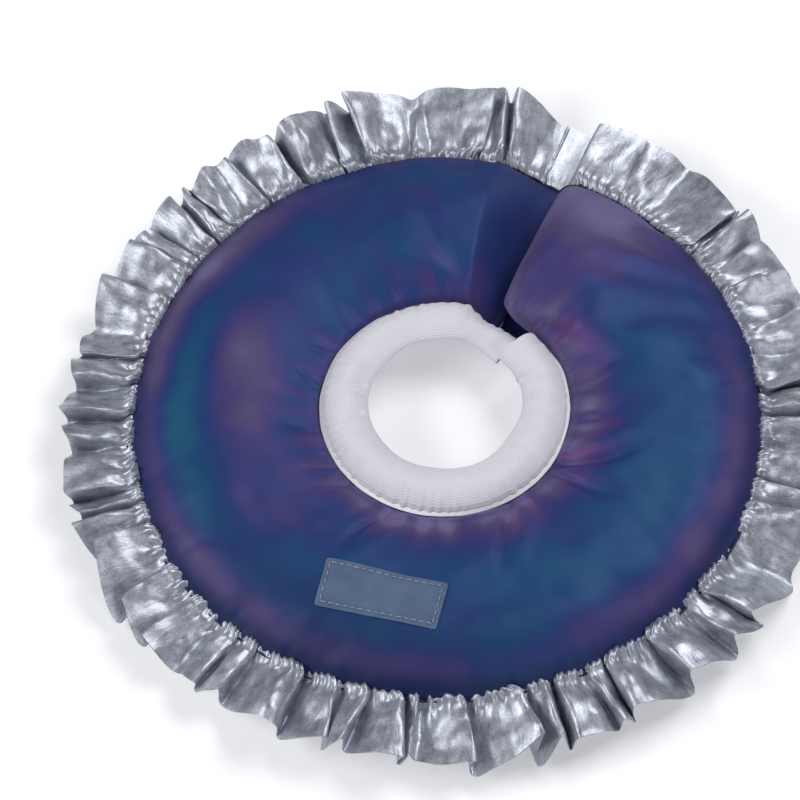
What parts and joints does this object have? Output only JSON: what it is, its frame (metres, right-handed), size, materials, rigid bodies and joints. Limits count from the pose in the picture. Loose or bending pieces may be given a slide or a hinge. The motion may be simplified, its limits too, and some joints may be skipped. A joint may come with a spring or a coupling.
{
  "type": "elizabethan collar",
  "caption": "Soft padded recovery collar: stuffed fabric ring with gathered satin ruffle, rib-knit neck band and hook-and-loop overlap.",
  "frame": {"origin": "on the ring's axis, in the plane of the flat back that the collar rests on", "axes": "+Z along the ring's axis towards the wearer's head, +Y towards the overlap at the nape, +X towards the wearer's left"},
  "size_m": [0.334, 0.334, 0.0386],
  "materials": {
    "shell_fabric": "satin",
    "silver_satin": "satin",
    "rib_knit": "matte",
    "label_weave": "matte",
    "seam_thread": "matte",
    "label_thread": "matte",
    "fibre": "matte",
    "hook_tape": "matte",
    "loop_tape": "matte"
  },
  "bodies": {
    "left_side": {"front_shell_left": "shell_fabric", "back_shell_left": "shell_fabric", "fibre_fill_left": "fibre", "outer_seam_left": "seam_thread", "ruffle_left": "silver_satin", "neck_band_left": "rib_knit", "closing_tongue": "shell_fabric", "hook_tape_neck": "hook_tape", "hook_tape_rim": "hook_tape", "label": "label_weave", "label_stitching": "label_thread"},
    "right_side": {"front_shell_right": "shell_fabric", "back_shell_right": "shell_fabric", "fibre_fill_right": "fibre", "outer_seam_right": "seam_thread", "ruffle_right": "silver_satin", "neck_band_right": "rib_knit"},
    "flap": {"front_shell_flap": "shell_fabric", "back_shell_flap": "shell_fabric", "fibre_fill_flap": "fibre", "outer_seam_flap": "seam_thread", "ruffle_flap": "silver_satin", "loop_tape_neck": "loop_tape", "loop_tape_rim": "loop_tape"}
  },
  "joints": [
    {"name": "ring_fold", "type": "hinge", "parent": "left_side", "child": "right_side", "pos_m": [0.047, -0.08141, 0.036], "axis": [0.5, -0.866, 0], "range_deg": [0, 110]},
    {"name": "flap_peel", "type": "hinge", "parent": "right_side", "child": "flap", "pos_m": [0.04981, 0.07972, 0.036], "axis": [0.5299, 0.848, 0], "range_deg": [0, 80]}
  ]
}
